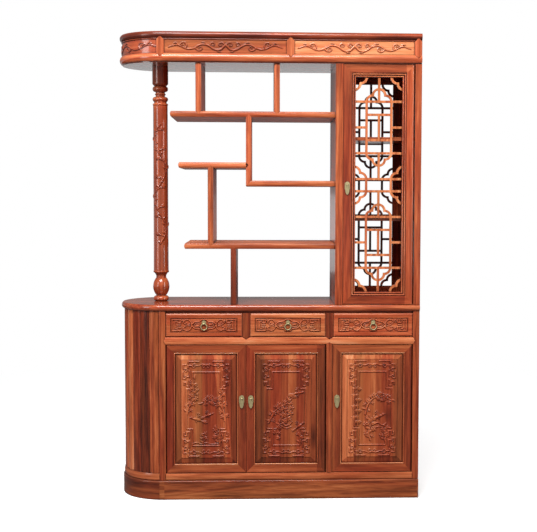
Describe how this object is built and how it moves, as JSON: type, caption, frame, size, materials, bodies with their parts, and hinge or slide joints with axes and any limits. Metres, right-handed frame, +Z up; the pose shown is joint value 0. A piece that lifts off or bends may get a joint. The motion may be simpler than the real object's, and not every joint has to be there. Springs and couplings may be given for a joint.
{
  "type": "entrance cabinet",
  "caption": "Carved hardwood entrance cabinet: round-ended base with drawers and doors, open display shelves on a turned post, a tall lattice-door case and a cornice.",
  "frame": {"origin": "on the floor, under the middle of the outline box", "axes": "+X along the front to the right as seen from the front, +Y to the back, +Z up; the front faces -Y"},
  "size_m": [1.3, 0.4, 2],
  "materials": {
    "wood": "gloss lacquer",
    "wood_light": "gloss lacquer",
    "wood_dark": "satin lacquer",
    "brass": "aged, satin"
  },
  "bodies": {
    "cabinet": {"plinth_end": "wood", "plinth_boards": "wood", "base_floor": "wood_dark", "foot_ring": "wood", "end_staves": "wood", "front_posts": "wood", "back_posts": "wood", "front_rails": "wood_light", "carcass_rails": "wood_light", "drawer_muntins": "wood_dark", "back_panels": "wood", "side_panel": "wood", "partitions": "wood_dark", "inner_shelves": "wood_dark", "drawer_runners": "wood_dark", "counter_top": "wood", "turned_post": "wood", "shelf_top": "wood", "shelf_left": "wood", "shelf_middle": "wood", "shelf_low": "wood", "shelf_dividers": "wood_light", "case_stiles": "wood", "case_walls": "wood", "case_back": "wood", "case_shelves": "wood_dark", "cornice_floor": "wood", "cornice_lid": "wood_dark", "cornice_foot": "wood", "cornice_crown": "wood", "cornice_stiles": "wood", "cornice_panels": "wood_light"},
    "drawer_1": {"drawer_1_front": "wood_light", "drawer_1_box": "wood_dark", "drawer_1_boss": "brass"},
    "drawer_ring_1": {"drawer_1_ring": "brass"},
    "drawer_2": {"drawer_2_front": "wood_light", "drawer_2_box": "wood_dark", "drawer_2_boss": "brass"},
    "drawer_ring_2": {"drawer_2_ring": "brass"},
    "drawer_3": {"drawer_3_front": "wood_light", "drawer_3_box": "wood_dark", "drawer_3_boss": "brass"},
    "drawer_ring_3": {"drawer_3_ring": "brass"},
    "door_1": {"door_1_frame": "wood", "door_1_panel": "wood_light", "door_1_pull": "brass"},
    "door_leaf_1": {"door_1_leaf": "brass"},
    "door_2": {"door_2_frame": "wood", "door_2_panel": "wood_light", "door_2_pull": "brass"},
    "door_leaf_2": {"door_2_leaf": "brass"},
    "door_3": {"door_3_frame": "wood", "door_3_panel": "wood_light", "door_3_pull": "brass"},
    "door_leaf_3": {"door_3_leaf": "brass"},
    "tall_door": {"case_door_frame": "wood", "case_lattice": "wood_light", "case_pull": "brass"},
    "tall_door_leaf": {"case_leaf": "brass"}
  },
  "joints": [
    {"name": "drawer_1_slide", "type": "slide", "parent": "cabinet", "child": "drawer_1", "axis": [0, -1, 0], "range_m": [0, 0.24]},
    {"name": "drawer_ring_1_swing", "type": "hinge", "parent": "drawer_1", "child": "drawer_ring_1", "pos_m": [-0.27863, -0.19, 0.762], "axis": [-1, 0, 0], "range_deg": [0, 90]},
    {"name": "drawer_2_slide", "type": "slide", "parent": "cabinet", "child": "drawer_2", "axis": [0, -1, 0], "range_m": [0, 0.24]},
    {"name": "drawer_ring_2_swing", "type": "hinge", "parent": "drawer_2", "child": "drawer_ring_2", "pos_m": [0.08138, -0.19, 0.762], "axis": [-1, 0, 0], "range_deg": [0, 90]},
    {"name": "drawer_3_slide", "type": "slide", "parent": "cabinet", "child": "drawer_3", "axis": [0, -1, 0], "range_m": [0, 0.24]},
    {"name": "drawer_ring_3_swing", "type": "hinge", "parent": "drawer_3", "child": "drawer_ring_3", "pos_m": [0.4495, -0.19, 0.762], "axis": [-1, 0, 0], "range_deg": [0, 90]},
    {"name": "door_1_hinge", "type": "hinge", "parent": "cabinet", "child": "door_1", "pos_m": [-0.4305, -0.176, 0.393], "axis": [0, 0, -1], "range_deg": [0, 90]},
    {"name": "door_leaf_1_swing", "type": "hinge", "parent": "door_1", "child": "door_leaf_1", "pos_m": [-0.1175, -0.192, 0.439], "axis": [-1, 0, 0], "range_deg": [0, 75]},
    {"name": "door_2_hinge", "type": "hinge", "parent": "cabinet", "child": "door_2", "pos_m": [0.235, -0.176, 0.393], "axis": [0, 0, 1], "range_deg": [0, 90]},
    {"name": "door_leaf_2_swing", "type": "hinge", "parent": "door_2", "child": "door_leaf_2", "pos_m": [-0.078, -0.192, 0.439], "axis": [-1, 0, 0], "range_deg": [0, 75]},
    {"name": "door_3_hinge", "type": "hinge", "parent": "cabinet", "child": "door_3", "pos_m": [0.6095, -0.176, 0.393], "axis": [0, 0, 1], "range_deg": [0, 90]},
    {"name": "door_leaf_3_swing", "type": "hinge", "parent": "door_3", "child": "door_leaf_3", "pos_m": [0.294, -0.192, 0.439], "axis": [-1, 0, 0], "range_deg": [0, 75]},
    {"name": "tall_door_hinge", "type": "hinge", "parent": "cabinet", "child": "tall_door", "pos_m": [0.6095, -0.181, 1.3575], "axis": [0, 0, 1], "range_deg": [0, 90]},
    {"name": "tall_door_leaf_swing", "type": "hinge", "parent": "tall_door", "child": "tall_door_leaf", "pos_m": [0.3335, -0.197, 1.359], "axis": [-1, 0, 0], "range_deg": [0, 75]}
  ]
}
